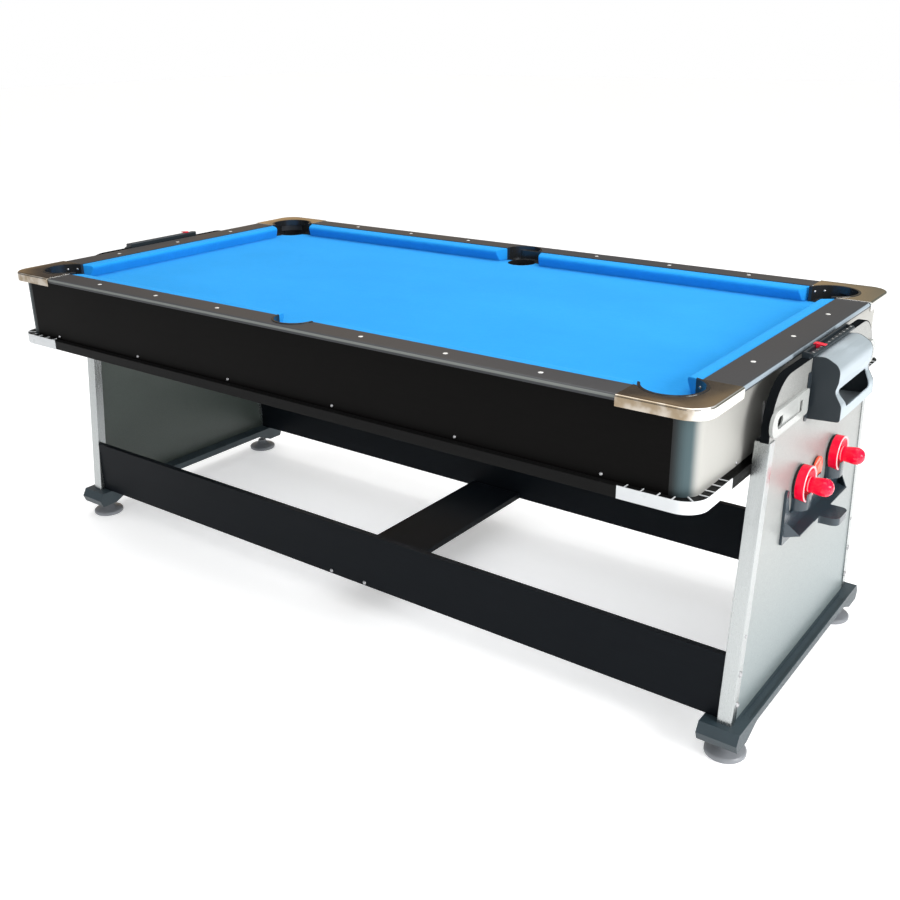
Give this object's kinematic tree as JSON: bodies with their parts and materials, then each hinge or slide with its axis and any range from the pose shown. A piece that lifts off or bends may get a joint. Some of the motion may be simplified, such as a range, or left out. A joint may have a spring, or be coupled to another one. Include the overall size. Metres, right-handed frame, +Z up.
{
  "type": "swivel games table",
  "caption": "Long games table turning between two end frames: pool bed with six pockets on one face, air hockey on the other, score slides, puck boxes and strikers.",
  "frame": {"origin": "on the floor under the middle of the table", "axes": "+X along the table toward the end with the striker rack, +Y to the back long side, +Z up"},
  "size_m": [2.3496, 1.142, 0.861],
  "materials": {
    "apron_black": "satin black laminate on board",
    "brushed_silver": "brushed",
    "rail_black": "satin charcoal laminate on board",
    "sight_white": "gloss",
    "plated_cap": "mirror plated",
    "pocket_black": "gloss",
    "cushion_rubber": "cloth covered rubber",
    "board": "raw fibreboard",
    "blue_cloth": "woven wool blend",
    "guard_silver": "silver satin",
    "hockey_surface": "smooth white laminate",
    "pine": "sawn softwood",
    "fan_black": "moulded",
    "screw_steel": "plated",
    "steel": "turned",
    "panel_laminate": "speckled silver laminate on board",
    "band_black": "satin",
    "stretcher_black": "satin black laminate on board",
    "foot_plastic": "pebbled moulding",
    "box_silver": "silver paint",
    "box_black": "satin moulding",
    "marker_red": "gloss",
    "latch_silver": "silver satin",
    "rack_black": "moulded",
    "striker_red": "gloss",
    "puck_orange": "gloss",
    "trim_aluminium": "brushed",
    "leveller_grey": "moulded on a steel stud"
  },
  "bodies": {
    "stand": {"end_panel_left": "panel_laminate", "end_panel_right": "panel_laminate", "edge_bands": "band_black", "leg_trim_front_left": "trim_aluminium", "leg_trim_front_right": "trim_aluminium", "leg_trim_back_left": "trim_aluminium", "leg_trim_back_right": "trim_aluminium", "foot_beam_left": "foot_plastic", "foot_beam_right": "foot_plastic", "stretcher_front": "stretcher_black", "stretcher_back": "stretcher_black", "cross_board": "stretcher_black", "stand_screws": "screw_steel", "pivot_bearings": "fan_black", "puck_box_skin_left": "box_silver", "puck_box_skin_right": "box_silver", "puck_box_cheeks": "box_black", "scorer_bar_left": "box_black", "scorer_bar_right": "box_black", "latch_bezels": "latch_silver", "striker_holder": "rack_black"},
    "playfield": {"side_apron_front": "apron_black", "side_apron_back": "apron_black", "end_apron_left": "brushed_silver", "end_apron_right": "brushed_silver", "long_rail_front": "rail_black", "long_rail_back": "rail_black", "end_rail_left": "rail_black", "end_rail_right": "rail_black", "rail_sights": "sight_white", "corner_caps": "plated_cap", "pocket_cups_corner": "pocket_black", "pocket_cups_side": "pocket_black", "cushions_long": "cushion_rubber", "cushions_end": "cushion_rubber", "bed_board": "board", "bed_cloth": "blue_cloth", "hockey_frame": "rail_black", "corner_guards": "guard_silver", "hockey_bed": "hockey_surface", "plenum_board": "board", "frame_battens": "pine", "blower_housing": "fan_black", "cabinet_screws": "screw_steel", "pivot_shafts": "steel", "latch_keepers": "steel"},
    "impeller": {"blower_impeller": "fan_black"},
    "striker_front": {"striker_front": "striker_red"},
    "striker_back": {"striker_back": "striker_red"},
    "puck": {"puck": "puck_orange"},
    "score_slider_left": {"score_slider_left": "marker_red"},
    "score_slider_right": {"score_slider_right": "marker_red"},
    "latch_front_left": {"latch_slide_front_left": "latch_silver"},
    "leveller_front_left": {"leveller_front_left": "leveller_grey"},
    "latch_front_right": {"latch_slide_front_right": "latch_silver"},
    "leveller_front_right": {"leveller_front_right": "leveller_grey"},
    "latch_back_left": {"latch_slide_back_left": "latch_silver"},
    "leveller_back_left": {"leveller_back_left": "leveller_grey"},
    "latch_back_right": {"latch_slide_back_right": "latch_silver"},
    "leveller_back_right": {"leveller_back_right": "leveller_grey"}
  },
  "joints": [
    {"name": "playfield_flip", "type": "hinge", "parent": "stand", "child": "playfield", "pos_m": [0, 0, 0.7435], "axis": [1, 0, 0], "range_deg": [0, 180]},
    {"name": "blower_spin", "type": "hinge", "parent": "playfield", "child": "impeller", "pos_m": [0, 0, 0.74], "axis": [0, 0, 1], "continuous": true},
    {"name": "striker_front_lift", "type": "slide", "parent": "stand", "child": "striker_front", "axis": [0, 0, 1], "range_m": [0, 0.07]},
    {"name": "striker_back_lift", "type": "slide", "parent": "stand", "child": "striker_back", "axis": [0, 0, 1], "range_m": [0, 0.07]},
    {"name": "puck_lift", "type": "slide", "parent": "stand", "child": "puck", "axis": [0, 0, 1], "range_m": [0, 0.06]},
    {"name": "score_left", "type": "slide", "parent": "stand", "child": "score_slider_left", "axis": [0, 1, 0], "range_m": [-0.2175, 0.0235]},
    {"name": "score_right", "type": "slide", "parent": "stand", "child": "score_slider_right", "axis": [0, 1, 0], "range_m": [-0.0555, 0.1855]},
    {"name": "latch_front_left", "type": "slide", "parent": "stand", "child": "latch_front_left", "axis": [0, 1, 0], "range_m": [0, 0.03]},
    {"name": "leveller_front_left", "type": "slide", "parent": "stand", "child": "leveller_front_left", "axis": [0, 0, -1], "range_m": [0, 0.012]},
    {"name": "latch_front_right", "type": "slide", "parent": "stand", "child": "latch_front_right", "axis": [0, 1, 0], "range_m": [0, 0.03]},
    {"name": "leveller_front_right", "type": "slide", "parent": "stand", "child": "leveller_front_right", "axis": [0, 0, -1], "range_m": [0, 0.012]},
    {"name": "latch_back_left", "type": "slide", "parent": "stand", "child": "latch_back_left", "axis": [0, -1, 0], "range_m": [0, 0.03]},
    {"name": "leveller_back_left", "type": "slide", "parent": "stand", "child": "leveller_back_left", "axis": [0, 0, -1], "range_m": [0, 0.012]},
    {"name": "latch_back_right", "type": "slide", "parent": "stand", "child": "latch_back_right", "axis": [0, -1, 0], "range_m": [0, 0.03]},
    {"name": "leveller_back_right", "type": "slide", "parent": "stand", "child": "leveller_back_right", "axis": [0, 0, -1], "range_m": [0, 0.012]}
  ]
}
